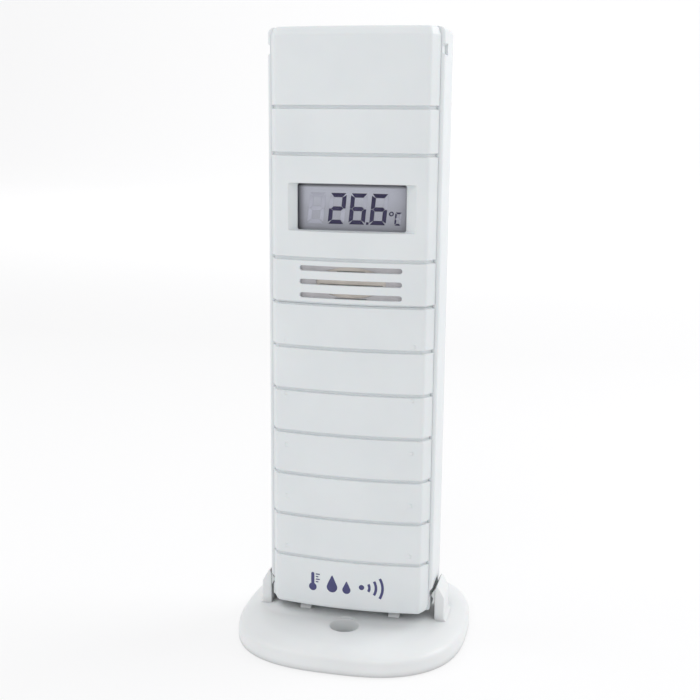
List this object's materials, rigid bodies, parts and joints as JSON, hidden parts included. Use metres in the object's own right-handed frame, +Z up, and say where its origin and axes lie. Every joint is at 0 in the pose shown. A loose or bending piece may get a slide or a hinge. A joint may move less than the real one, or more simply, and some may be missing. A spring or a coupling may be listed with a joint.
{
  "type": "outdoor temperature and humidity sensor",
  "caption": "Slim upright white outdoor temperature and humidity sensor with a small LCD, vent slots and a grooved front, held by side clips in a round base.",
  "frame": {"origin": "centre of the round stand's foot, on the surface it stands on", "axes": "+Z up along the sensor, -Y towards the viewer of the display, +X to the viewer's right"},
  "size_m": [0.0532, 0.052, 0.1368],
  "materials": {
    "housing_white": "fine satin moulded plastic",
    "stand_white": "satin moulded plastic",
    "label_paper": "satin film, blank",
    "window_clear": "clear, polished",
    "lcd_frame": "matt",
    "lcd_glass": "polished, with a polariser",
    "lcd_reflector": "satin grey",
    "silicone": "soft, matt",
    "board_green": "solder mask",
    "chip_black": "matt epoxy",
    "bare_metal": "nickel plated",
    "copper_wire": "enamelled wire",
    "filter_felt": "pressed felt",
    "cell_wrap": "printed sleeve, plain",
    "lead_red": "insulated wire",
    "lead_black": "insulated wire",
    "resin": "dipped resin"
  },
  "bodies": {
    "stand": {"stand_base": "stand_white"},
    "sensor_module": {"rear_shell": "housing_white", "front_shell": "housing_white", "rating_label": "label_paper", "display_window": "window_clear", "lcd_frame": "lcd_frame", "lcd_front_glass": "lcd_glass", "lcd_rear_glass": "lcd_glass", "lcd_reflector": "lcd_reflector", "lcd_connector_strip": "silicone", "circuit_board": "board_green", "controller_chip": "chip_black", "crystal": "bare_metal", "capacitor": "chip_black", "humidity_sensor": "chip_black", "rf_board": "board_green", "rf_shield": "bare_metal", "thermistor": "resin", "antenna": "copper_wire", "filter_pad": "filter_felt", "battery_left": "cell_wrap", "battery_right": "cell_wrap", "bridge_plate": "bare_metal", "bridge_spring": "bare_metal", "positive_plate": "bare_metal", "negative_plate": "bare_metal", "negative_spring": "bare_metal", "positive_lead": "lead_red", "negative_lead": "lead_black", "housing_screw_1": "bare_metal", "housing_screw_2": "bare_metal", "housing_screw_3": "bare_metal", "housing_screw_4": "bare_metal", "board_screw_1": "bare_metal", "board_screw_2": "bare_metal"},
    "battery_cover": {"battery_cover": "housing_white"}
  },
  "joints": [
    {"name": "module_lift", "type": "slide", "parent": "stand", "child": "sensor_module", "axis": [0, 0, 1], "range_m": [0, 0.025]},
    {"name": "battery_cover_tilt", "type": "hinge", "parent": "sensor_module", "child": "battery_cover", "pos_m": [0, -0.00804, 0.0095], "axis": [1, 0, 0], "range_deg": [0, 68]}
  ]
}
